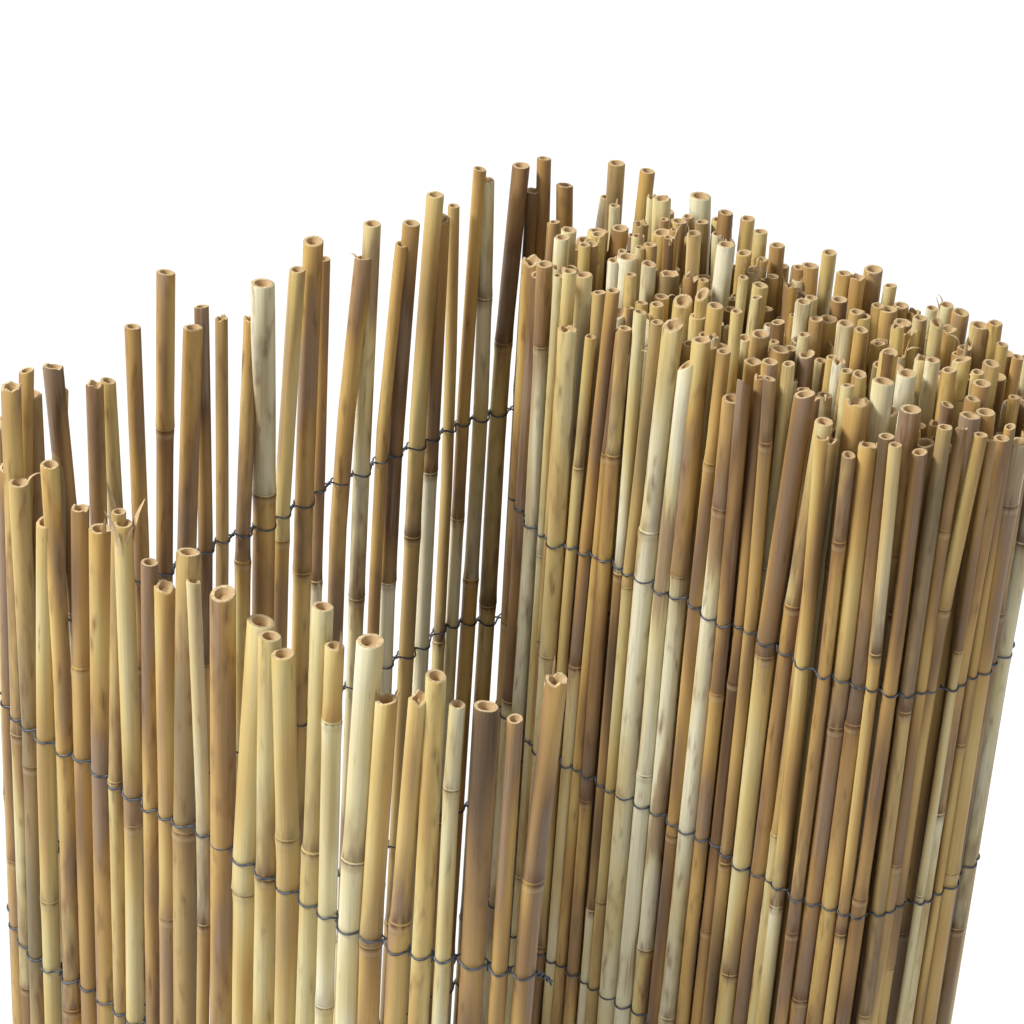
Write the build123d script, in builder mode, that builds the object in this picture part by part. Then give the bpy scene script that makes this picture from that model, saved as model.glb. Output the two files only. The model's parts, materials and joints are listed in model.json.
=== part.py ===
from build123d import *
import os
import random
from math import atan2, ceil, cos, degrees, pi, radians, sin, tan

# Reed fence mat, standing upright: most of it is still rolled up, and its last stretch is
# unrolled into a loop. All sizes in millimetres, floor at z = 0.
fence_height = 1000       # usual length of the cut reeds
top_step = 3              # step by which the cut tops differ
top_steps = 9             # how many such steps there are
stub_rise = 25            # extra length of the few reeds that stand proud
stub_share = 0.03         # share of the reeds that stand proud

reed_diameter = 8.0       # middle size of a reed
diameter_spread = 3.2     # from the thinnest to the thickest reed
reed_taper = 0.8          # change of diameter from one end of a reed to the other
reed_bite = 1.0           # how far rolled reeds press into each other
gap_least = 0.4           # narrowest daylight between loop reeds
gap_most = 2.6            # widest daylight between loop reeds
back_opening = 2.2        # further daylight on the back run, where the mat is pulled open

roll_run = 133            # straight length of each flattened turn in the roll
full_turns = 4            # complete turns inside the outermost one
turn_clearance = 1.3      # room between one turn and the next, for the wires there
roll_angle = -35.7        # heading of the roll's long side

exit_run = 21             # straight stretch where the mat leaves the roll
rear_bend_radius = 70
rear_bend_angle = 89
back_run = 225
left_bend_radius = 50
left_bend_angle = 92
front_run = 150
end_bend_radius = 110
end_bend_angle = 30
end_run = 25

wire_size = 1.2           # thickness of the binding wire
wire_clearance = 0.15     # between a wire and the reeds it holds
wire_tail = 7             # wire left over past the last reed
wire_lap = 30             # degrees of the roll's left end that the loop covers
wire_facet = 18           # most degrees that a wire turns at one place
row_spacing = 110
top_margin = 112          # from the usual top down to the first row of wire

os.makedirs("parts", exist_ok=True)
dice = random.Random(19)

thick = (reed_diameter + diameter_spread / 2) / 2
thin = (reed_diameter - diameter_spread / 2) / 2
stoutest = thick + reed_taper / 2
turn_pitch = 2 * thick + turn_clearance
rows = int((fence_height - top_margin) // row_spacing)

# The mat's middle line is a chain of legs, each a straight stretch and then a left-hand bend.
inner_legs = []
for turn in range(full_turns):
    inner_legs.append((roll_run, (turn + 0.5) * turn_pitch, 180))
    inner_legs.append((roll_run, (turn + 1) * turn_pitch, 180))
outer_leg = (roll_run, (full_turns + 0.5) * turn_pitch, 180)
exit_leg = (roll_run + exit_run, rear_bend_radius, rear_bend_angle)
back_leg = (back_run, left_bend_radius, left_bend_angle)
front_leg = (front_run, end_bend_radius, end_bend_angle)
roll_legs = inner_legs + [outer_leg]
loop_legs = [exit_leg, back_leg, front_leg]


def trace(start, heading, legs, last_run, side):
    # Follows the legs from a start point, moved sideways towards the mat's outer face.
    ahead = Vector(1, 0).rotate(Axis.Z, heading)
    at = start + ahead.rotate(Axis.Z, -90) * side
    with BuildLine() as line:
        for run, radius, angle in legs:
            if run:
                at = Line(at, at + ahead * run) @ 1
            bend = JernArc(start=at, tangent=ahead, radius=radius + side, arc_size=angle)
            at = bend @ 1
            ahead = bend % 1
        Line(at, at + ahead * last_run)
    return line.wire()


def bend_length(leg):
    return leg[1] * radians(leg[2])


def leg_length(leg):
    return leg[0] + bend_length(leg)


# The plan is centred on the origin.
drawn = trace(Vector(0, 0), roll_angle, roll_legs + loop_legs, end_run, 0)
core = drawn.bounding_box().center() * -1
mat_line = trace(core, roll_angle, roll_legs + loop_legs, end_run, 0)


def along(distance):
    # Point, heading and outward direction of the mat's line, so far from its core.
    point = mat_line.position_at(distance, position_mode=PositionMode.LENGTH)
    ahead = mat_line.tangent_at(distance, position_mode=PositionMode.LENGTH)
    return point, degrees(atan2(ahead.Y, ahead.X)), ahead.rotate(Axis.Z, -90)


def cut_top():
    step = dice.randrange(top_steps) - top_steps // 2
    rise = stub_rise if dice.random() < stub_share else 0
    return fence_height + step * top_step + rise


def rolled_reed(distance, half):
    # A six-sided reed with a flat on each face of the mat and edges that bite its neighbours.
    point, heading, outward = along(distance)
    with BuildPart() as reed:
        with BuildSketch(Plane(Location(point, (0, 0, heading)))):
            RegularPolygon(half, 6, major_radius=False)
        extrude(amount=cut_top())
    return reed.part.solid()


def loop_reed(foot, foot_half, head, head_half):
    # A tapered six-sided reed whose outer edge lies along the outer wires.
    low, low_heading, low_outward = along(foot)
    high, high_heading, high_outward = along(head)
    heading = (low_heading + high_heading) / 2
    if abs(low_heading - high_heading) > 180:
        heading = heading + 180
    low_seat = Location(low + low_outward * (thick - foot_half), (0, 0, heading))
    high_seat = Location(high + high_outward * (thick - head_half), (0, 0, heading))
    with BuildPart() as reed:
        with BuildSketch(Plane(low_seat)):
            RegularPolygon(foot_half, 6, rotation=30)
        with BuildSketch(Plane(high_seat).offset(cut_top())):
            RegularPolygon(head_half, 6, rotation=30)
        loft(ruled=True)
    return reed.part.solid()


# Rolled reeds stand side by side from the core to the end of the outermost turn.
roll_length = sum(leg_length(leg) for leg in roll_legs) + roll_run
rolled = []
roll_edge = 0
while roll_edge < roll_length:
    half = dice.uniform(thin, thick)
    reach = half / cos(pi / 6)
    rolled.append(rolled_reed(roll_edge + reach - reed_bite, half))
    roll_edge += 2 * reach - reed_bite

with BuildPart() as roll:
    add(rolled)
roll.part.label = "roll_turns"
export_step(roll.part, "parts/roll_turns.step")

# Loop reeds stand apart, each a little out of line with the next, from the roll to the free end.
rear_bend_end = roll_length + exit_run + bend_length(exit_leg)
back_run_end = rear_bend_end + back_run
left_bend_end = back_run_end + bend_length(back_leg)
front_run_end = left_bend_end + front_run
stretches = [
    ("rear_bend_reeds", rear_bend_end, 0),
    ("back_run_reeds", back_run_end, back_opening),
    ("left_bend_reeds", left_bend_end, 0),
    ("front_run_reeds", front_run_end, 0),
    ("free_end_reeds", mat_line.length, 0),
]
foot_half = head_half = dice.uniform(thin, thick)
foot = head = roll_edge + gap_least + foot_half
halves = []
for name, stretch_end, opening in stretches:
    reeds = []
    while max(foot, head) + stoutest < stretch_end:
        reeds.append(loop_reed(foot, foot_half, head, head_half))
        halves.append((foot_half, head_half))
        half = dice.uniform(thin, thick)
        swell = dice.choice([-1, 1]) * reed_taper / 2
        foot += foot_half + half + swell + opening
        head += head_half + half - swell + opening
        foot_half = half + swell
        head_half = half - swell
        gaps = sorted([dice.uniform(gap_least, gap_most), dice.uniform(gap_least, gap_most)])
        lagging = foot < head
        foot += gaps[lagging]
        head += gaps[not lagging]
    with BuildPart() as stretch:
        add(reeds)
    stretch.part.label = name
    export_step(stretch.part, f"parts/{name}.step")


def strand_line(start, heading, legs, last_run, side):
    # As trace, but stiff wire goes round a bend in short straights, clear of the reeds:
    # on the outer face their middles touch the bend, on the inner face their corners do.
    ahead = Vector(1, 0).rotate(Axis.Z, heading)
    at = start + ahead.rotate(Axis.Z, -90) * side
    corners = [at]
    for run, radius, angle in legs:
        at += ahead * run
        count = ceil(angle / wire_facet)
        step = angle / count
        reach = (radius + side) * tan(radians(step / 2))
        chord = 2 * (radius + side) * sin(radians(step / 2))
        if side < 0 and run:
            corners.append(at)
        for corner in range(count):
            if side > 0:
                corners.append(at + ahead * reach)
            at += ahead.rotate(Axis.Z, step / 2) * chord
            ahead = ahead.rotate(Axis.Z, step)
            if side < 0:
                corners.append(at)
    corners.append(at + ahead * last_run)
    with BuildLine() as line:
        Polyline(corners)
    return line.wire()


# Each row of wire has a strand on the outer face, which goes on round the roll, and one inside.
last_run = end_run + wire_tail
lap_bend = (0, full_turns * turn_pitch, 180 - wire_lap)
lap_distance = sum(leg_length(leg) for leg in inner_legs) - bend_length(lap_bend)
lap_point, lap_heading, lap_outward = along(lap_distance)
outer_legs = [lap_bend, outer_leg] + loop_legs
outer_side = thick + wire_clearance + wire_size / 2
outer_line = strand_line(lap_point, lap_heading, outer_legs, last_run, outer_side)

bare_bend = (0, rear_bend_radius, rear_bend_angle)
bare_point, bare_heading, bare_outward = along(roll_length + exit_run)
bare_legs = [bare_bend, back_leg, front_leg]

for row in range(rows):
    level = fence_height - top_margin - row * row_spacing
    share = level / fence_height
    widest = max(low + (high - low) * share for low, high in halves)
    inner_side = thick - 2 * widest - wire_clearance - wire_size / 2
    inner_line = strand_line(bare_point, bare_heading, bare_legs, last_run, inner_side)
    for face, line in (("outer", outer_line), ("inner", inner_line)):
        strand_path = line.moved(Location((0, 0, level)))
        with BuildPart() as strand:
            with BuildSketch(Plane(strand_path @ 0, x_dir=(0, 0, 1), z_dir=strand_path % 0)):
                Rectangle(wire_size, wire_size)
            sweep(path=strand_path, transition=Transition.RIGHT)
        strand.part.label = f"{face}_wire_{row + 1}"
        export_step(strand.part, f"parts/{face}_wire_{row + 1}.step")
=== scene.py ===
import bpy
import json
import math
import numpy as np
from mathutils import Matrix, Vector
from types import SimpleNamespace

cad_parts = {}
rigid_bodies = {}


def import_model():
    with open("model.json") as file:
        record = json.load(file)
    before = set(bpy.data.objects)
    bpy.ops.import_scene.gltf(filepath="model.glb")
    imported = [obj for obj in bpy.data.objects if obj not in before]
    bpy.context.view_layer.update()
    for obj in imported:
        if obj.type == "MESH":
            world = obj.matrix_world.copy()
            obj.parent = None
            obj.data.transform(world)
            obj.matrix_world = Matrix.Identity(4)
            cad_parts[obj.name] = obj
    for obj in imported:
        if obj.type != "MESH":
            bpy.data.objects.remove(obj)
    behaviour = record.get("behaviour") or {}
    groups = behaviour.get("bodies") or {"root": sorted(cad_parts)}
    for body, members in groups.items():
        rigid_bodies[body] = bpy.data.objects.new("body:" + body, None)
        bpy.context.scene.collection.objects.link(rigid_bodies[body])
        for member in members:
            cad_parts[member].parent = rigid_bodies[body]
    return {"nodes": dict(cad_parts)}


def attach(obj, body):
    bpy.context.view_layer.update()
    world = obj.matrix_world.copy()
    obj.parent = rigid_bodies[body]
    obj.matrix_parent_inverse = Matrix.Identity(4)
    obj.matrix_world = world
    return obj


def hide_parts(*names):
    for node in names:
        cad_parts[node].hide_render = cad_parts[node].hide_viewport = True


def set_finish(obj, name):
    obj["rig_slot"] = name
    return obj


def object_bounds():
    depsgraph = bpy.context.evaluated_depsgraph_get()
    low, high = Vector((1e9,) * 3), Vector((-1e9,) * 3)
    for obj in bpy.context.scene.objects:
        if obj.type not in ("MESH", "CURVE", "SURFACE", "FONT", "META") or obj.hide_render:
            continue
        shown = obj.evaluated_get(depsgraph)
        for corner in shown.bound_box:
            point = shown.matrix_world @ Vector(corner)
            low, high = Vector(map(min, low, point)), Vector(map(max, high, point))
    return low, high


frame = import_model()
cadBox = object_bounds()
nodes = frame["nodes"]
mm = 0.001
luck = np.random.default_rng(23)
print("frame loaded", len(nodes), "nodes")


# the mat's middle line, as wound: straights and left-hand bends, mm
mat = {
    "core": (33.18, 123.39), "heading": -35.7,
    "run": 133.0, "pitch": 10.9, "turns": 4,
    "loop": [(154.0, 70.0, 89.0), (225.0, 50.0, 92.0), (150.0, 110.0, 30.0)],  # run, radius, angle
    "tail": 25.0, "thick": 4.8, "height": 1000,
    "topRow": 888, "rowSpacing": 110, "rowCount": 8, "lap": 150,
}
rows = [mat["topRow"] - mat["rowSpacing"] * k for k in range(mat["rowCount"])]
outerBend = (mat["turns"] + 0.5) * mat["pitch"]


def windMat(step=0.5):
    x, y = mat["core"]
    head = math.radians(mat["heading"])
    pts = [(x, y, head)]
    legs = []
    for t in range(mat["turns"]):
        legs.append((mat["run"], (t + 0.5) * mat["pitch"], 180.0))
        legs.append((mat["run"], (t + 1) * mat["pitch"], 180.0))
    legs.append((mat["run"], outerBend, 180.0))
    rollLength = sum(r + b * math.radians(a) for r, b, a in legs) + mat["run"]
    for run, bend, angle in legs + mat["loop"] + [(mat["tail"], 0.0, 0.0)]:
        count = max(1, int(run / step))
        for k in range(count):
            x += math.cos(head) * run / count
            y += math.sin(head) * run / count
            pts.append((x, y, head))
        count = int(bend * math.radians(angle) / step)
        for k in range(count):
            turn = math.radians(angle) / count
            chord = 2 * bend * math.sin(turn / 2)
            x += math.cos(head + turn / 2) * chord
            y += math.sin(head + turn / 2) * chord
            head += turn
            pts.append((x, y, head))
    pts = np.array(pts)
    far = np.concatenate([[0], np.cumsum(np.hypot(np.diff(pts[:, 0]), np.diff(pts[:, 1])))])
    return far, pts, rollLength


far, linePts, rollLength = windMat()


def along(distance):
    x = np.interp(distance, far, linePts[:, 0])
    y = np.interp(distance, far, linePts[:, 1])
    head = np.interp(distance, far, linePts[:, 2])
    ahead = np.array([math.cos(head), math.sin(head)])
    return np.array([x, y]), ahead, np.array([ahead[1], -ahead[0]])


def keepInPlan(co, margin):
    for axis in range(2):
        co[:, axis] = np.clip(co[:, axis], cadBox[0][axis] + margin, cadBox[1][axis] - margin)


# stock canes, modelled once each: circle, then ring after ring pulled up to the cut end
cane = {
    "length": 1000, "sides": 14, "plainSides": 10,
    "knot": [(-12, 0.99), (-5, 1.01), (-2.2, 1.055), (-0.9, 1.075), (0.0, 1.035),    # height, girth
             (0.9, 1.06), (2.4, 1.035), (6, 1.0), (14, 0.98)],
    "plainKnot": [(-6, 1.0), (-1.0, 1.07), (0.0, 1.03), (1.0, 1.06), (6, 0.99)],
    "between": [0.33, 0.66], "plainBetween": [0.5],
    "aboveKnots": [0.3, 0.6, 0.85], "plainAbove": [0.6],
    "bore": 0.58, "boreDepth": 2.6, "boreTaper": 0.12, "boreLip": 0.08, "edge": 0.93,
    "seam": 0.45, "topBand": 27, "endBand": 10, "grainRadius": 4.2, "cutOff": (60, 160),
    "margin": 0.0002,
}


def stockCane(name, sides, knots, fine):
    length = cane["length"]
    profile = cane["knot"] if fine else cane["plainKnot"]
    rings = [(0.0, 1.0)]
    spacing = length / (knots + 0.5)
    heights = [spacing * (k + 0.7) for k in range(knots)]
    for h in heights:
        last = rings[-1][0]
        low = h + profile[0][0]
        for part in cane["between"] if fine else cane["plainBetween"]:
            rings.append((last + (low - last) * part, 1.0))
        rings += [(h + dz, r) for dz, r in profile]
    last = rings[-1][0]
    for part in cane["aboveKnots"] if fine else cane["plainAbove"]:
        rings.append((last + (length - last) * part, 1.0))
    rings += [(length - 0.4, 1.0), (length, cane["edge"]), (length, cane["bore"] + cane["boreLip"])]
    rings += [(length - 0.8, cane["bore"]), (length - cane["boreDepth"], cane["bore"] - cane["boreTaper"])]
    bpy.ops.object.select_all(action="DESELECT")
    bpy.ops.mesh.primitive_circle_add(vertices=sides, radius=1.0, fill_type="NGON")
    reed = bpy.context.object
    reed.name = name
    bpy.ops.object.mode_set(mode="EDIT")
    bpy.ops.mesh.select_all(action="SELECT")
    for (z0, r0), (z1, r1) in zip(rings, rings[1:]):
        bpy.ops.mesh.extrude_region_move(TRANSFORM_OT_translate={"value": (0, 0, (z1 - z0) * mm)})
        if r1 != r0:
            bpy.ops.transform.resize(value=(r1 / r0, r1 / r0, 1), center_override=(0, 0, z1 * mm))
    bpy.ops.mesh.select_all(action="SELECT")
    bpy.ops.mesh.normals_make_consistent(inside=False)
    bpy.ops.object.mode_set(mode="OBJECT")
    mesh = reed.data
    co = np.empty(len(mesh.vertices) * 3)
    mesh.vertices.foreach_get("co", co)
    co = co.reshape(-1, 3)
    polys = [list(p.vertices) for p in mesh.polygons]
    mids = np.array([co[p].mean(0) for p in polys])
    wide = np.array([np.hypot(co[p, 0], co[p, 1]).max() for p in polys])
    tall = np.array([np.ptp(co[p, 2]) for p in polys])
    cut = np.zeros(len(polys))
    cut[(wide < 0.97) & (tall < 0.001)] = 1.0       # sawn rim
    cut[(wide < 0.7)] = 2.0                         # bore
    cut[mids[:, 2] < 1e-6] = 1.0                    # foot
    bpy.data.objects.remove(reed)
    return SimpleNamespace(co=co, polys=polys, cut=cut, heights=np.array(heights))


stock = [stockCane(name, cane["sides"], knots, True)
         for name, knots in (("caneFour", 4), ("caneFive", 5), ("caneSix", 6))]
plain = [stockCane("caneInner", cane["plainSides"], 3, False)]
print("stock canes", [len(s.co) for s in stock + plain])


# one reed: where it stands, its knots, bends, tones
reedLuck = {
    "gap": (0.7, 1.3), "topGap": (0.15, 1.1), "footGap": (0.3, 1.0), "footLeast": 20, "topLeast": 18,
    "oval": 0.07, "kink": 0.45, "bow": 0.9, "girth": 0.035, "flare": 0.0012,
    "square": 0.82, "slant": 0.10, "steep": 0.4,                        # share of square cuts
    "clean": 0.85, "rough": 0.10, "torn": (0.4, 1.3),                   # share of clean cuts
    "tone": 0.74, "toneShape": (1.1, 1.3), "toneStep": 0.07,
    "browns": 0.12, "nextToTop": 0.35, "brown": (0.58, 0.9), "pales": 0.08, "pale": (0.0, 0.10),
}


def newReed(foot, head, footR, headR, top, ahead, out, place):
    s = SimpleNamespace(foot=np.array(foot), head=np.array(head), footR=footR, headR=headR)
    s.top = top
    s.ahead = ahead
    s.out = out
    s.place = place
    s.inner = False
    s.dull = 0.0
    return s


def finishReed(s):
    s.kind = (plain if s.inner else stock)[luck.integers(len(plain) if s.inner else len(stock))]
    count = len(s.kind.heights)
    gaps = luck.uniform(*reedLuck["gap"], count + 1)
    gaps[-1] *= luck.uniform(*reedLuck["topGap"])   # what is left above the top knot
    gaps[0] *= luck.uniform(*reedLuck["footGap"])
    steps = np.cumsum(gaps) / gaps.sum()
    s.knots = np.clip(steps[:-1] * s.top, reedLuck["footLeast"], s.top - reedLuck["topLeast"])
    s.turn = luck.uniform(0, 2 * math.pi)
    s.oval = luck.uniform(0.0, reedLuck["oval"])
    s.bendZ = np.concatenate([[0], s.knots, [s.top]])
    s.kink = luck.normal(0, reedLuck["kink"], (count + 2, 2))
    s.kink[0] = 0
    s.bow = luck.normal(0, reedLuck["bow"])
    s.girth = luck.normal(1.0, reedLuck["girth"], count + 1)
    s.slant = luck.normal(0, reedLuck["slant"] if luck.random() < reedLuck["square"] else reedLuck["steep"])
    s.slantTurn = luck.uniform(0, 2 * math.pi)
    if luck.random() < reedLuck["clean"]:
        s.ragged = abs(luck.normal(0, reedLuck["rough"]))
    else:
        s.ragged = luck.uniform(*reedLuck["torn"])
    # the rolled reeds' tone is pushed darker: partly browner reeds, partly painted shade from the loop that
    # stands in front of the roll
    base = luck.beta(*reedLuck["toneShape"]) * reedLuck["tone"] + s.dull
    s.tones = np.clip(base + luck.normal(0, reedLuck["toneStep"], count + 1), 0, 1)
    chances = [reedLuck["browns"]] * (count - 1) + [s.browns * reedLuck["nextToTop"], s.browns]
    for k, chance in enumerate(chances):
        if luck.random() < chance:
            s.tones[k] = luck.uniform(*reedLuck["brown"])
        elif luck.random() < reedLuck["pales"]:
            s.tones[k] = luck.uniform(*reedLuck["pale"])   # pale sheath still on
    s.own = luck.uniform(0, 1, 3)
    s.shift = luck.uniform(-50, 50, 3)
    return s


def axisAt(s, z):
    z = np.asarray(z, float)
    t = np.clip(z / s.top, 0, 1)
    xy = s.foot[:, None] + (s.head - s.foot)[:, None] * t
    kx = np.interp(z, s.bendZ, s.kink[:, 0])
    ky = np.interp(z, s.bendZ, s.kink[:, 1])
    free = np.clip(z - rows[0], 0, None)            # above the top row nothing holds it
    flare = s.lean * free + reedLuck["flare"] * s.lean * free * free
    sway = kx + s.bow * np.sin(math.pi * t) + flare
    lift = ky * 0.5 + s.tilt * free
    return xy + s.ahead[:, None] * sway + s.out[:, None] * lift


def radiusAt(s, z):
    return s.footR + (s.headR - s.footR) * np.clip(np.asarray(z, float) / s.top, 0, 1)


def reedMesh(s):
    kind = s.kind
    below, above = cane["knot"][0][0], cane["knot"][-1][0]
    z0 = kind.co[:, 2] / mm
    fromZ, toZ = [0.0], [0.0]
    for a, b in zip(kind.heights, s.knots):
        fromZ += [a + below, a, a + above]
        toZ += [b + below, b, b + above]
    fromZ += [cane["length"] - cane["topBand"], cane["length"]]
    toZ += [s.top - cane["topBand"], s.top]
    z = np.interp(z0, fromZ, np.maximum.accumulate(np.array(toZ)))
    ang = np.arctan2(kind.co[:, 1], kind.co[:, 0]) + s.turn
    wide = np.hypot(kind.co[:, 0], kind.co[:, 1])
    rad = wide * radiusAt(s, z) * s.girth[np.searchsorted(s.knots, z - cane["seam"])]
    lx = np.cos(ang) * rad * (1 + s.oval)
    ly = np.sin(ang) * rad * (1 - s.oval)
    atEnd = np.where(z0 > cane["length"] - cane["endBand"], 1.0, 0.0)
    jag = np.sin(ang * 3 + s.turn * 5) * 0.5 + np.sin(ang * 5 + s.shift[0]) * 0.5
    slope = s.slant * (lx * math.cos(s.slantTurn) + ly * math.sin(s.slantTurn))
    z = z + atEnd * (slope + s.ragged * jag - s.ragged * 0.8)
    xy = axisAt(s, z)
    world = np.column_stack([xy[0] + lx, xy[1] + ly, z])
    part = np.searchsorted(s.knots, z - cane["seam"])
    stops = np.concatenate([[-cane["cutOff"][0]], s.knots, [s.top + cane["cutOff"][1]]])
    skin = np.column_stack([z - stops[part], stops[part + 1] - z, s.tones[part]])
    grainR = cane["grainRadius"]
    grain = np.column_stack([np.cos(ang) * grainR, np.sin(ang) * grainR, z]) + s.shift
    own = np.tile(s.own, (len(z), 1))
    return world, kind.polys, kind.cut, skin, grain, own


def layMesh(name, co, polys, skins, grains, owns, cuts, replaced):
    mesh = bpy.data.meshes.new(name)
    mesh.from_pydata(co.tolist(), [], polys)
    for key, values in (("skin", skins), ("grain", grains), ("own", owns)):
        layer = mesh.attributes.new(key, "FLOAT_VECTOR", "POINT")
        layer.data.foreach_set("vector", np.vstack(values).astype(np.float32).ravel())
    layer = mesh.attributes.new("cut", "FLOAT", "FACE")
    layer.data.foreach_set("value", cuts.astype(np.float32))
    piece = bpy.data.objects.new(name, mesh)
    bpy.context.scene.collection.objects.link(piece)
    bpy.ops.object.select_all(action="DESELECT")
    piece.select_set(True)
    bpy.context.view_layer.objects.active = piece
    bpy.ops.object.shade_smooth_by_angle(angle=math.radians(50))
    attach(piece, "root")
    if replaced:
        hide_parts(replaced)
    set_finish(piece, "reed")
    return piece


def reedGroup(name, reeds, replaced):
    verts, polys, cuts, skins, grains, owns = [], [], [], [], [], []
    base = 0
    for s in reeds:
        world, faces, cut, skin, grain, own = reedMesh(s)
        verts.append(world)
        polys += [[i + base for i in f] for f in faces]
        cuts.append(cut)
        skins.append(skin)
        grains.append(grain)
        owns.append(own)
        base += len(world)
    co = np.vstack(verts) * mm
    keepInPlan(co, cane["margin"])
    co[:, 2] = np.clip(co[:, 2], 0, cadBox[1][2])
    return layMesh(name, co, polys, skins, grains, owns, np.concatenate(cuts), replaced)


# loop reeds, read off the frame's own reeds
loopReed = {
    "slim": {"rear_bend_reeds": 0.92, "back_run_reeds": 0.92, "left_bend_reeds": 0.90,
             "front_run_reeds": 0.92, "free_end_reeds": 0.92},
    "browns": {"rear_bend_reeds": 0.5, "back_run_reeds": 0.5, "left_bend_reeds": 0.4,
               "front_run_reeds": 0.25, "free_end_reeds": 0.25},
    "slimLuck": (0.88, 1.06), "lean": 0.030, "tilt": 0.014, "startSpare": 30,
    "stoutest": [("front_run_reeds", 11), ("free_end_reeds", 1)], "stout": 1.22,
}


def looseParts(mesh):
    co = np.array([v.co for v in mesh.vertices]) / mm
    keys = {}
    same = []
    for c in co:
        same.append(keys.setdefault(tuple(np.round(c, 2)), len(keys)))
    parent = list(range(len(keys)))

    def root(i):
        while parent[i] != i:
            parent[i] = parent[parent[i]]
            i = parent[i]
        return i

    for e in mesh.edges:
        a, b = root(same[e.vertices[0]]), root(same[e.vertices[1]])
        parent[a] = b
    pts = np.array(list(keys.keys()))
    groups = {}
    for i in range(len(pts)):
        groups.setdefault(root(i), []).append(i)
    return [pts[g] for g in groups.values()]


def readReeds(node):
    found = []
    late = far > rollLength - loopReed["startSpare"]
    for p in looseParts(nodes[node].data):
        top = p[:, 2].max()
        low, high = p[p[:, 2] < 1], p[p[:, 2] > top - 1]
        foot, head = low[:, :2].mean(0), high[:, :2].mean(0)
        footR = np.hypot(*(low[:, :2] - foot).T).mean()
        headR = np.hypot(*(high[:, :2] - head).T).mean()
        mid = (foot + head) / 2
        gone = np.hypot(linePts[late, 0] - mid[0], linePts[late, 1] - mid[1])
        place = far[late][gone.argmin()]
        ahead, out = along(place)[1:]
        slim = loopReed["slim"][node] * luck.uniform(*loopReed["slimLuck"])
        found.append(newReed(foot, head, footR * slim, headR * slim, top, ahead, out, place))
    return sorted(found, key=lambda s: s.place)


loopNames = list(loopReed["slim"])                  # in the order in which the mat runs
loop = {}
for name in loopNames:
    loop[name] = readReeds(name)
    for s in loop[name]:
        s.lean = luck.normal(0, loopReed["lean"])
        s.tilt = luck.normal(0, loopReed["tilt"])
        s.browns = loopReed["browns"][name]
        finishReed(s)
for name, index in loopReed["stoutest"]:
    s = loop[name][index]
    s.footR, s.headR = s.footR * loopReed["stout"], s.headR * loopReed["stout"]
loopReeds = [s for name in loopNames for s in loop[name]]
print("loop reeds", {n: len(v) for n, v in loop.items()})

# rolled reeds follow the frame's winding, thick and thin pushed together, cut where its ridges are
rolledReed = {
    "size": 3.05, "sizeLuck": 0.62, "least": 1.9, "most": 4.6, "gap": (-0.1, 2.0), "sunk": (0, 4),
    "taper": (-0.06, 0.06), "seat": (-0.7, 1.0), "seatSpare": 0.2, "drift": 1.5,
    # the last entry darkens every rolled reed's tone: partly browner reeds, partly painted shade from the
    # loop in front of the roll
    "lean": 0.016, "tilt": 0.014, "browns": 0.4, "dull": 0.07,
}
ridge = nodes["roll_turns"]
innerEnd = rollLength - 2 * mat["run"] - 2 * math.pi * outerBend   # plain canes up to here
rolled = []
edgeAt = 0.0
while edgeAt < rollLength:
    size = luck.normal(rolledReed["size"], rolledReed["sizeLuck"])
    size = float(np.clip(size, rolledReed["least"], rolledReed["most"]))
    place = edgeAt + size
    edgeAt += 2 * size + luck.uniform(*rolledReed["gap"])
    at, ahead, out = along(place)
    hit, spot = ridge.ray_cast(Vector((at[0] * mm, at[1] * mm, 2)), Vector((0, 0, -1)))[:2]
    top = (spot.z / mm if hit else mat["height"]) - luck.uniform(*rolledReed["sunk"])
    taper = luck.uniform(*rolledReed["taper"])
    seat = at + out * (luck.uniform(*rolledReed["seat"]) * (mat["thick"] + rolledReed["seatSpare"] - size))
    drift = ahead * luck.normal(0, rolledReed["drift"])
    s = newReed(seat - drift, seat + drift, size * (1 + taper), size * (1 - taper), top, ahead, out, place)
    s.inner = place < innerEnd
    s.lean = luck.normal(0, rolledReed["lean"])
    s.tilt = luck.normal(0, rolledReed["tilt"])
    s.browns = rolledReed["browns"]
    s.dull = rolledReed["dull"]
    rolled.append(finishReed(s))
print("rolled reeds", len(rolled), sum(s.inner for s in rolled), "of them inner")

for name in loopNames:
    reedGroup(name + "_canes", loop[name], name)
inner = [s for s in rolled if s.inner]
outer = [s for s in rolled if not s.inner]
reedGroup("roll_core_canes", inner[: len(inner) // 2], "roll_turns")
reedGroup("roll_middle_canes", inner[len(inner) // 2:], "roll_turns")
reedGroup("roll_outer_canes_1", outer[: len(outer) // 2], "roll_turns")
reedGroup("roll_outer_canes_2", outer[len(outer) // 2:], "roll_turns")
print("canes placed")


# splinters and loose fibres at the cut ends: one sliver, copied and bent
sliver = {
    "girths": (1.0, 0.96, 0.9, 0.82, 0.7, 0.55, 0.35, 0.12), "fold": 0.55, "seat": 0.88, "thick": 0.45,
    "count": (1, 4), "length": (3, 11), "width": (0.4, 1.2), "curl": (-0.05, 0.3), "kinks": [0, 0, 0.5],
    "low": (1, 6), "skin": [60, 60, 0.05], "own": [0.4, 0.5, 0.3],
    "loopShare": 0.14, "rollShare": 0.10,
    "split": ("front_run_reeds", 5),                # one top is split and flares
    # turn, length, width, curl, kink, how far below the top
    "flares": [(2.4, 26, 2.0, 0.28, 0, 14), (4.2, 22, 1.6, 0.34, 0, 12),
               (0.6, 18, 1.8, 0.30, 0, 10), (5.4, 12, 1.0, 0.5, 0, 8)],
    "bentAt": (22, 68),                             # a bent strip stands up from the roll
    "strips": [(5.9, 30, 0.7, 0.12, 0.9, 26), (0.3, 26, 0.5, 0.3, 1.3, 24)],
}


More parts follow.
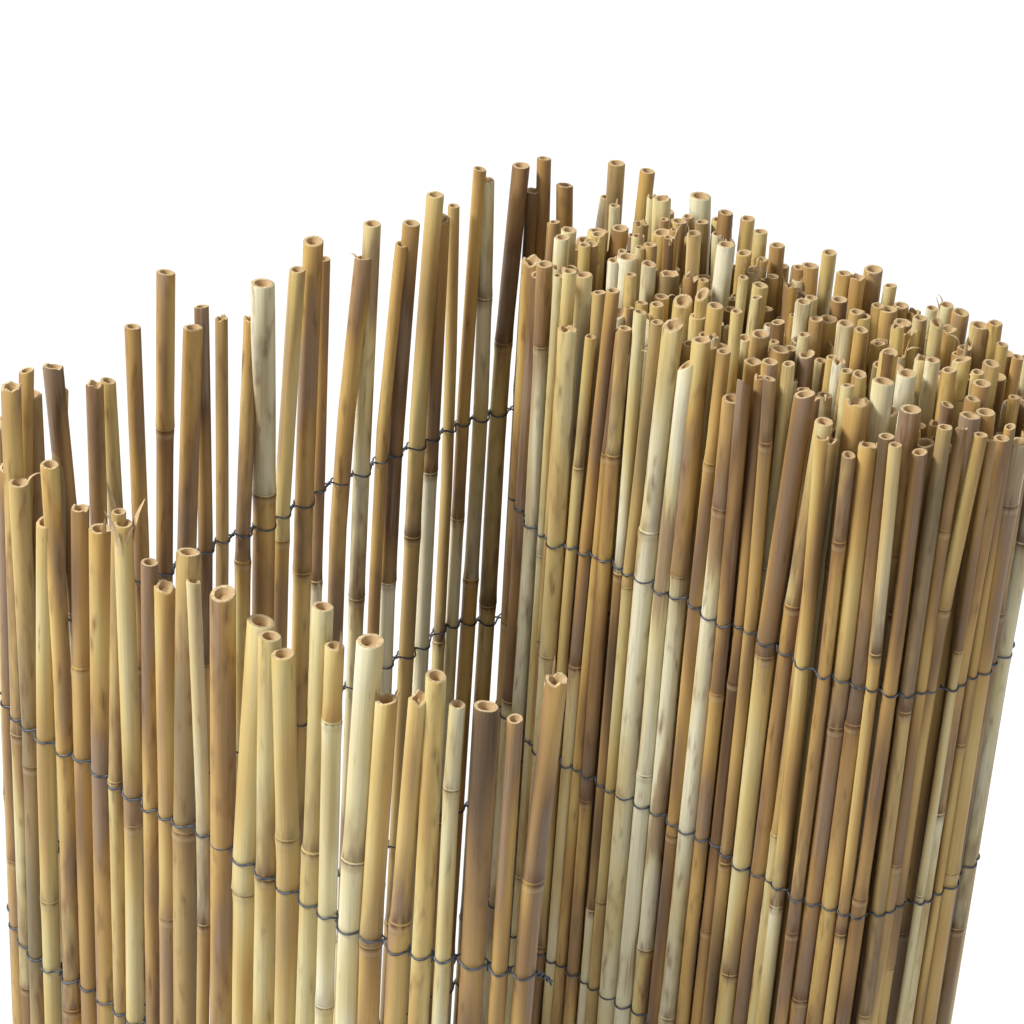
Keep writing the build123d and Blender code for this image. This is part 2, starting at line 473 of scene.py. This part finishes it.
def stockSliver():
    bpy.ops.object.select_all(action="DESELECT")
    bpy.ops.mesh.primitive_circle_add(vertices=4, radius=1.0, fill_type="NGON")
    strip = bpy.context.object
    bpy.ops.object.mode_set(mode="EDIT")
    bpy.ops.mesh.select_all(action="SELECT")
    step = 1 / len(sliver["girths"])
    last = 1.0
    for k, girth in enumerate(sliver["girths"]):
        bpy.ops.mesh.extrude_region_move(TRANSFORM_OT_translate={"value": (0, 0, step)})
        middle = (0, 0, step * (k + 1))
        bpy.ops.transform.resize(value=(girth / last, girth / last, 1), center_override=middle)
        last = girth
    bpy.ops.mesh.select_all(action="SELECT")
    bpy.ops.mesh.normals_make_consistent(inside=False)
    bpy.ops.object.mode_set(mode="OBJECT")
    co = np.array([v.co for v in strip.data.vertices])
    polys = [list(p.vertices) for p in strip.data.polygons]
    bpy.data.objects.remove(strip)
    return co, polys


sliverCo, sliverPolys = stockSliver()


def bentSliver(s, angle, length, width, curl, kink, low):
    ray = np.array([math.cos(angle), math.sin(angle)])
    side = np.array([-ray[1], ray[0]])
    z = s.top - low
    start = axisAt(s, [z])[:, 0] + ray * float(radiusAt(s, z)) * sliver["seat"]
    t = sliverCo[:, 2]
    fold = sliver["fold"]
    over = np.where(t > fold, (t - fold) / (1 - fold), 0.0)
    outward = curl * length * t * t + kink * length * over
    lift = length * (t - 0.8 * abs(kink) * over * over)
    flat = start[None, :] + ray[None, :] * outward[:, None]
    flat = flat + side[None, :] * (sliverCo[:, :1] * width)
    flat = flat + ray[None, :] * (sliverCo[:, 1:2] * min(sliver["thick"], width * 0.5))
    return np.column_stack([flat, z + lift])


def splinters(name, reeds, chance, torn):
    verts, polys, skins, grains, owns = [], [], [], [], []
    base = 0
    for s in reeds:
        if luck.random() < chance:
            for k in range(luck.integers(*sliver["count"])):
                angle = luck.uniform(0, 2 * math.pi)
                length = luck.uniform(*sliver["length"])
                width = luck.uniform(*sliver["width"])
                curl = luck.uniform(*sliver["curl"])
                kink = luck.choice(sliver["kinks"])
                torn.append((s, angle, length, width, curl, kink, luck.uniform(*sliver["low"])))
    for s, *shape in torn:
        world = bentSliver(s, *shape)
        world[:, 2] = np.minimum(world[:, 2], cadBox[1][2] / mm)
        verts.append(world)
        polys += [[i + base for i in f] for f in sliverPolys]
        base += len(world)
        skins.append(np.tile(sliver["skin"], (len(world), 1)))
        grains.append(world + s.shift)
        owns.append(np.tile(sliver["own"], (len(world), 1)))
    co = np.vstack(verts) * mm
    keepInPlan(co, cane["margin"])
    return layMesh(name, co, polys, skins, grains, owns, np.ones(len(polys)), None)


splitName, splitIndex = sliver["split"]
split = loop[splitName][splitIndex]
bentX, bentY = sliver["bentAt"]
bent = min(rolled, key=lambda s: np.hypot(s.head[0] - bentX, s.head[1] - bentY))
splinters("loop_splinters", loopReeds, sliver["loopShare"], [(split, *f) for f in sliver["flares"]])
splinters("roll_splinters", rolled, sliver["rollShare"], [(bent, *f) for f in sliver["strips"]])
print("splinters set")


# binding wire: an outer and an inner strand to each row, hooked into each other between the reeds
wire = {
    "radius": 0.42, "sag": 0.55, "hook": 1.5, "outerHook": 0.35, "margin": 0.0007,
    "hug": [(-62, 0.0), (-30, -0.75), (0, -1.0), (30, -0.75), (62, 0.0)],    # degrees round a reed, sag
    "walk": 0.9, "jitter": 0.5, "low": 0.2, "evenOver": 41,
    "tailPoints": 14, "tailStart": 1.0, "tailTurn": 0.9, "tailStep": 0.42, "tailRadius": 0.75,
    "tailDroop": 0.02,
}


def strandPoints(reeds, level, outside, wander):
    face = 1.0 if outside else -1.0
    widest = wire["hug"][-1][0]
    pts = []
    for k, s in enumerate(reeds):
        z = level + wander[k]
        c = axisAt(s, [z])[:, 0]
        r = float(radiusAt(s, z)) + wire["radius"]
        step = (wander[k + 1] - wander[k]) * 0.5 if k + 1 < len(wander) else 0.0
        for a, dz in wire["hug"]:
            t = math.radians(a)
            p = c + s.ahead * (r * math.sin(t)) + s.out * (face * r * math.cos(t))
            pts.append((p[0], p[1], z + dz * wire["sag"] + step * (a + widest) / (2 * widest)))
        if k + 1 < len(reeds):
            n = reeds[k + 1]
            zn = level + wander[k + 1]
            cn = axisAt(n, [zn])[:, 0]
            mid = c + s.ahead * float(radiusAt(s, z))
            mid = (mid + cn - n.ahead * float(radiusAt(n, zn))) / 2
            zm = (z + zn) / 2
            lift = wire["hook"] * (wire["outerHook"] if outside else 1.0) * (0.5 + s.own[0])
            for outward, forward, rise in ((0.5, -0.25, 0.7), (-1.2, 0.0, face), (0.5, 0.25, 0.5)):
                p = mid + s.out * (face * outward) + s.ahead * forward
                pts.append((p[0], p[1], zm + lift * rise))
    return pts


def tailPoints(level, rise, side):                  # loose twisted end
    end = loopReeds[-1]
    c = axisAt(end, [level])[:, 0] + end.ahead * (radiusAt(end, level) + wire["tailStart"])
    pts = []
    for k in range(wire["tailPoints"]):
        a = side + k * wire["tailTurn"]
        p = c + end.ahead * (k * wire["tailStep"]) + end.out * (math.cos(a) * wire["tailRadius"])
        pts.append((p[0], p[1], level + rise + math.sin(a) * wire["tailRadius"] - wire["tailDroop"] * k * k))
    return pts


def smooth(pts, per=2):
    pts = np.array(pts)
    out = []
    for k in range(len(pts) - 1):
        p0, p1, p2, p3 = pts[max(k - 1, 0)], pts[k], pts[k + 1], pts[min(k + 2, len(pts) - 1)]
        for j in range(per):
            t = j / per
            bend = (2 * p0 - 5 * p1 + 4 * p2 - p3) * t * t + (3 * p1 - p0 - 3 * p2 + p3) * t ** 3
            out.append(0.5 * (2 * p1 + (p2 - p0) * t + bend))
    out.append(pts[-1])
    return out


def layWire(name, pts, replaced):
    line = bpy.data.curves.new(name, "CURVE")
    line.dimensions = "3D"
    line.bevel_depth = wire["radius"] * mm
    line.bevel_resolution = 1
    line.use_fill_caps = True
    run = line.splines.new("POLY")
    run.points.add(len(pts) - 1)
    flat = np.column_stack([np.array(pts) * mm, np.ones(len(pts))])
    keepInPlan(flat, wire["margin"])
    run.points.foreach_set("co", flat.ravel())
    piece = bpy.data.objects.new(name, line)
    bpy.context.scene.collection.objects.link(piece)
    bpy.ops.object.select_all(action="DESELECT")
    piece.select_set(True)
    bpy.context.view_layer.objects.active = piece
    bpy.ops.object.convert(target="MESH")
    piece = bpy.context.object
    bpy.ops.object.shade_smooth()
    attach(piece, "root")
    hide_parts(replaced)
    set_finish(piece, "wire")
    return piece


lapBend = math.radians(mat["lap"]) * mat["turns"] * mat["pitch"]
lapStart = rollLength - 2 * mat["run"] - math.pi * outerBend - lapBend
turnReeds = [s for s in rolled if s.place > lapStart]
boundReeds = turnReeds + loopReeds
wireFaces = 0
for row, level in enumerate(rows):
    walk = np.cumsum(luck.normal(0, wire["walk"], len(boundReeds)))
    window = np.ones(wire["evenOver"]) / wire["evenOver"]
    walk = walk - np.convolve(np.pad(walk, wire["evenOver"] // 2, mode="edge"), window, mode="valid")
    wander = walk + luck.normal(0, wire["jitter"], len(boundReeds)) - wire["low"]
    outerPts = strandPoints(boundReeds, level, True, wander) + tailPoints(level, wander[-1], 0.0)
    innerPts = strandPoints(loopReeds, level, False, wander[len(turnReeds):])
    innerPts += tailPoints(level, wander[-1], math.pi)
    outerWire = layWire(f"wire_outer_{row + 1}", smooth(outerPts), f"outer_wire_{row + 1}")
    innerWire = layWire(f"wire_inner_{row + 1}", smooth(innerPts), f"inner_wire_{row + 1}")
    wireFaces += len(outerWire.data.polygons) + len(innerWire.data.polygons)
print("wires laid", wireFaces)


# shading: a socket with arithmetic
class Sock:
    def __init__(self, tree, out=None):
        self.tree = tree
        self.out = out

    def put(self, socket, value):
        if isinstance(value, Sock):
            self.tree.links.new(value.out, socket)
        elif isinstance(value, (tuple, list)) and len(value) == 3 and socket.type == "RGBA":
            socket.default_value = (*value, 1)
        else:
            socket.default_value = value

    def node(self, kind, result=0, sets=None, **inputs):
        n = self.tree.nodes.new(kind)
        for key, value in (sets or {}).items():
            setattr(n, key, value)
        for key, value in inputs.items():           # i0, i1 and so on go by number
            key = key.replace("_", " ")
            byNumber = key[0] == "i" and key[1:].isdigit()
            self.put(n.inputs[int(key[1:])] if byNumber else n.inputs[key], value)
        return Sock(self.tree, n.outputs[result])

    def math(self, op, *rest):
        inputs = {f"i{k}": v for k, v in enumerate((self, *rest))}
        return self.node("ShaderNodeMath", 0, {"operation": op}, **inputs)

    def __add__(self, o):
        return self.math("ADD", o)

    def __radd__(self, o):
        return self.math("ADD", o)

    def __sub__(self, o):
        return self.math("SUBTRACT", o)

    def __rsub__(self, o):
        return (self * -1) + o

    def __mul__(self, o):
        return self.math("MULTIPLY", o)

    def __rmul__(self, o):
        return self.math("MULTIPLY", o)

    def __truediv__(self, o):
        return self.math("DIVIDE", o)

    def ramp(self, lo, hi, a=0.0, b=1.0):
        sets = {"interpolation_type": "SMOOTHSTEP"}
        ends = {"From_Min": lo, "From_Max": hi, "To_Min": a, "To_Max": b}
        return self.node("ShaderNodeMapRange", 0, sets, Value=self, **ends)

    def mix(self, a, b):
        n = self.tree.nodes.new("ShaderNodeMix")
        n.data_type = "RGBA"
        self.put(n.inputs["Factor"], self)
        self.put(n.inputs[6], a)
        self.put(n.inputs[7], b)
        return Sock(self.tree, n.outputs[2])

    def split(self):
        n = self.tree.nodes.new("ShaderNodeSeparateXYZ")
        self.tree.links.new(self.out, n.inputs[0])
        return [Sock(self.tree, o) for o in n.outputs]

    def colours(self, stops):
        n = self.tree.nodes.new("ShaderNodeValToRGB")
        self.tree.links.new(self.out, n.inputs[0])
        while len(n.color_ramp.elements) < len(stops):
            n.color_ramp.elements.new(0.5)
        for e, (at, rgb) in zip(n.color_ramp.elements, stops):
            e.position = at
            e.color = (*rgb, 1)
        return Sock(self.tree, n.outputs[0])


def newMaterial(name):
    m = bpy.data.materials.new(name)
    m.use_nodes = True
    return m, m.node_tree.nodes["Principled BSDF"], Sock(m.node_tree)


def srgb(r, g, b):
    return tuple(((c / 255 + 0.055) / 1.055) ** 2.4 if c > 10 else c / 3294 for c in (r, g, b))


# reed skin, by how far a spot is above and below a knot and by each reed's own tone
skin = {
    "tones": [(0.00, (232, 226, 196)), (0.18, (222, 209, 160)), (0.40, (212, 187, 122)),
              (0.58, (198, 162, 98)), (0.74, (164, 130, 84)), (0.88, (128, 98, 67)), (1.00, (92, 70, 52))],
    "greenish": (190, 182, 134), "warm": (190, 146, 90), "weathered": (156, 132, 108),
    "stain": (130, 110, 92), "dusk": (142, 98, 56), "scorch": (104, 72, 46), "bloom": (200, 180, 140),
    "ring": (78, 54, 36), "fleck": (84, 55, 36), "smear": (120, 84, 52),
    "endDark": (166, 140, 102), "endPale": (204, 183, 143),
    "boreDark": (160, 128, 88), "borePale": (204, 178, 134),
    "bumpHeight": 0.0004, "bumpStrength": 0.3, "shine": 0.3,
}


def makeReedLook():
    look, bsdf, shade = newMaterial("reed")

    def attribute(key, result="Vector"):
        return shade.node("ShaderNodeAttribute", result, {"attribute_name": key})

    def noise(x, z, detail, rough=0.55):
        spot = shade.node("ShaderNodeVectorMath", 0, {"operation": "MULTIPLY"}, i0=grain, i1=(x, x, z))
        sizes = {"Scale": 1.0, "Detail": detail, "Roughness": rough}
        return shade.node("ShaderNodeTexNoise", "Fac", None, Vector=spot, **sizes)

    def blend(mask, key):
        return mask.mix(colour, srgb(*skin[key]))

    def deeper(value, saturation=1.0):
        sets = {"Color": colour, "Value": value, "Saturation": saturation}
        return shade.node("ShaderNodeHueSaturation", 0, None, **sets)

    up, down, tone = attribute("skin").split()
    own, own2, own3 = attribute("own").split()
    grain = attribute("grain")
    cut = attribute("cut", "Fac")
    patch = noise(0.11, 0.018, 0.0)                 # broad cloudy patches
    streak = noise(0.9, 0.012, 2.0)                 # long streaks
    fibre = noise(4.0, 0.03, 1.0)                   # fine grain
    blotch = noise(0.30, 0.07, 1.5, 0.6)            # spots and stains
    depth = tone + (patch - 0.5) * 0.75 + (streak - 0.5) * 0.2
    colour = depth.colours([(at, srgb(*rgb)) for at, rgb in skin["tones"]])
    colour = blend(own2.ramp(0.72, 1.0, 0.0, 0.3), "greenish")
    colour = blend(own3.ramp(0.7, 1.0, 0.0, 0.25), "warm")
    # long grey-mauve weathering on some reeds
    grey = (patch * 0.7 + streak * 0.3).ramp(0.52, 0.64) * own2.ramp(0.2, 0.75, 1.0, 0.0)
    colour = blend(grey * 0.8, "weathered")
    # grey-mauve stain that fades upward from a knot
    reach = own.ramp(0.0, 1.0, 16.0, 130.0)
    stain = (up / reach).ramp(0.05, 1.0, 1.0, 0.0) * own3.ramp(0.15, 0.8, 0.1, 0.9)
    stain = stain * blotch.ramp(0.25, 0.6, 0.35, 1.0)
    colour = blend(stain * 0.85, "stain")
    # the stretch under a knot goes a little darker
    dusk = (down / 40.0).ramp(0.0, 1.0, 1.0, 0.0) * own.ramp(0.3, 1.0, 0.0, 0.55)
    colour = blend(dusk * patch.ramp(0.35, 0.65, 0.2, 1.0), "dusk")
    # knots: scorched skin, a pale bloom below, dark rings
    scorch = up.ramp(0.0, 9.0, 1.0, 0.0).math("MAXIMUM", down.ramp(0.0, 6.0, 1.0, 0.0))
    scorch = scorch * (blotch * 0.6 + streak * 0.4).ramp(0.36, 0.58, 0.1, 1.0)
    colour = blend(scorch * own3.ramp(0.1, 0.9, 0.25, 0.9), "scorch")
    bloom = (down - 2.6).math("ABSOLUTE").ramp(0.4, 1.6, 1.0, 0.0)
    colour = blend(bloom * 0.35, "bloom")
    ring = up.ramp(0.2, 1.6, 1.0, 0.0).math("MAXIMUM", down.ramp(0.2, 1.1, 1.0, 0.0))
    colour = blend(ring * blotch.ramp(0.3, 0.6, 0.3, 1.0) * 0.75, "ring")
    # flecks, dark spots and grain
    colour = blend((fibre * 0.4 + blotch * 0.6).ramp(0.63, 0.74) * 0.75, "fleck")
    colour = blend(blotch.ramp(0.5, 0.8, 0.0, 0.6) * own.ramp(0.25, 0.8), "smear")
    colour = streak.ramp(0.3, 0.7).mix(deeper(0.85, 1.05), colour)
    colour = fibre.ramp(0.2, 0.8).mix(deeper(0.88), colour)
    # cut ends
    endGrain = fibre * 0.5 + streak * 0.5
    sawn = cut.ramp(0.4, 0.6)
    colour = sawn.mix(colour, endGrain.ramp(0.3, 0.7).mix(srgb(*skin["endDark"]), srgb(*skin["endPale"])))
    boreColour = endGrain.mix(srgb(*skin["boreDark"]), srgb(*skin["borePale"]))
    colour = cut.ramp(1.4, 1.6).mix(colour, boreColour)
    shade.put(bsdf.inputs["Base Color"], colour)
    rough = sawn * 0.4 + streak.ramp(0.2, 0.8, 0.36, 0.52) + stain * 0.12
    shade.put(bsdf.inputs["Roughness"], rough)
    sizes = {"Strength": skin["bumpStrength"], "Distance": skin["bumpHeight"]}
    shade.put(bsdf.inputs["Normal"], shade.node("ShaderNodeBump", 0, None, Height=fibre, **sizes))
    bsdf.inputs["Specular IOR Level"].default_value = skin["shine"]
    return look


# dark annealed wire
wireSkin = {"dark": (52, 56, 64), "pale": (92, 98, 106), "metal": 0.75, "mottle": 420.0}


def makeWireLook():
    look, bsdf, shade = newMaterial("wire")
    spot = shade.node("ShaderNodeTexCoord", "Object")
    mottle = shade.node("ShaderNodeTexNoise", "Fac", None, Vector=spot, Scale=wireSkin["mottle"], Detail=3.0)
    colour = mottle.ramp(0.3, 0.7).mix(srgb(*wireSkin["dark"]), srgb(*wireSkin["pale"]))
    shade.put(bsdf.inputs["Base Color"], colour)
    shade.put(bsdf.inputs["Roughness"], mottle.ramp(0.3, 0.7, 0.34, 0.6))
    bsdf.inputs["Metallic"].default_value = wireSkin["metal"]
    return look


looks = {"reed": makeReedLook(), "wire": makeWireLook()}
for piece in bpy.data.objects:
    if piece.get("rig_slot") in looks:
        piece.data.materials.clear()
        piece.data.materials.append(looks[piece["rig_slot"]])
print("materials done")

# floor, light, camera
stage = {
    "floor": 14, "floorAt": (0, 3, 0), "paper": 0.93, "glow": 1.12, "glowShare": 0.86,
    "sky": 0.22, "skyShown": 0.8,
    "lamps": [                                      # name, place, aim, size, power, colour
        ("key", (-2.1, -0.55, 2.9), (0, 0, 0.8), 0.8, 128, (1.0, 0.99, 0.97)),
        ("front", (0.2, -2.8, 1.7), (0, 0, 0.7), 1.6, 8, (1.0, 1.0, 1.0)),
        ("right", (2.4, -1.7, 2.6), (0, 0, 0.8), 1.4, 16, (1.0, 1.0, 1.0)),
        ("back", (0.3, 2.4, 2.4), (0, 0, 0.9), 1.6, 30, (1.0, 1.0, 1.0)),
    ],
}


def whiteRay(shade):                                # what the camera and reflections see as white
    glossy = shade.node("ShaderNodeLightPath", "Is Glossy Ray")
    return shade.node("ShaderNodeLightPath", "Is Camera Ray").math("MAXIMUM", glossy)


bpy.ops.object.select_all(action="DESELECT")
bpy.ops.mesh.primitive_plane_add(size=stage["floor"], location=stage["floorAt"])
floor = bpy.context.object
floor.name = "floor"
paper, bsdf, shade = newMaterial("paper")
shade.put(bsdf.inputs["Base Color"], (stage["paper"],) * 3)
bsdf.inputs["Roughness"].default_value = 0.9
glow = shade.node("ShaderNodeEmission", 0, None, Color=(1, 1, 1), Strength=stage["glow"])
share = whiteRay(shade) * stage["glowShare"]
matte = Sock(paper.node_tree, bsdf.outputs[0])
both = shade.node("ShaderNodeMixShader", 0, None, Fac=share, i1=matte, i2=glow)
paper.node_tree.links.new(both.out, paper.node_tree.nodes["Material Output"].inputs[0])
floor.data.materials.append(paper)

world = bpy.data.worlds.new("studio")
bpy.context.scene.world = world
world.use_nodes = True
sky = world.node_tree.nodes["Background"]
shade = Sock(world.node_tree)
shade.put(sky.inputs["Color"], (1.0, 1.0, 1.0))
shade.put(sky.inputs["Strength"], whiteRay(shade) * stage["skyShown"] + stage["sky"])


def softBox(name, place, aim, size, power, colour):
    lamp = bpy.data.lights.new(name, "AREA")
    lamp.size = size
    lamp.energy = power
    lamp.color = colour
    holder = bpy.data.objects.new(name, lamp)
    holder.location = place
    holder.rotation_euler = (Vector(aim) - Vector(place)).to_track_quat("-Z", "Y").to_euler()
    bpy.context.scene.collection.objects.link(holder)


for lamp in stage["lamps"]:
    softBox(*lamp)

shot = {
    "focal": 3235, "pixels": 1024, "sensor": 36, "place": (0.0593, -1.0572, 1.62),
    "yaw": 3.56, "pitch": 32.19, "roll": 3.67,
}
camera = bpy.data.objects.new("camera", bpy.data.cameras.new("camera"))
bpy.context.scene.collection.objects.link(camera)
camera.data.sensor_width = shot["sensor"]
camera.data.lens = shot["focal"] * shot["sensor"] / shot["pixels"]
camera.data.clip_start = 0.05
yaw, pitch, roll = (math.radians(shot[a]) for a in ("yaw", "pitch", "roll"))
level = Vector((math.cos(yaw), math.sin(yaw), 0))
ahead = Vector((-math.sin(yaw) * math.cos(pitch), math.cos(yaw) * math.cos(pitch), -math.sin(pitch)))
upright = level.cross(ahead)
right = level * math.cos(roll) + upright * math.sin(roll)
above = upright * math.cos(roll) - level * math.sin(roll)
turned = Matrix((right, above, -ahead)).transposed().to_4x4()
camera.matrix_world = Matrix.Translation(shot["place"]) @ turned
bpy.context.scene.camera = camera
bpy.context.scene.view_settings.view_transform = "Standard"
print("stage set")
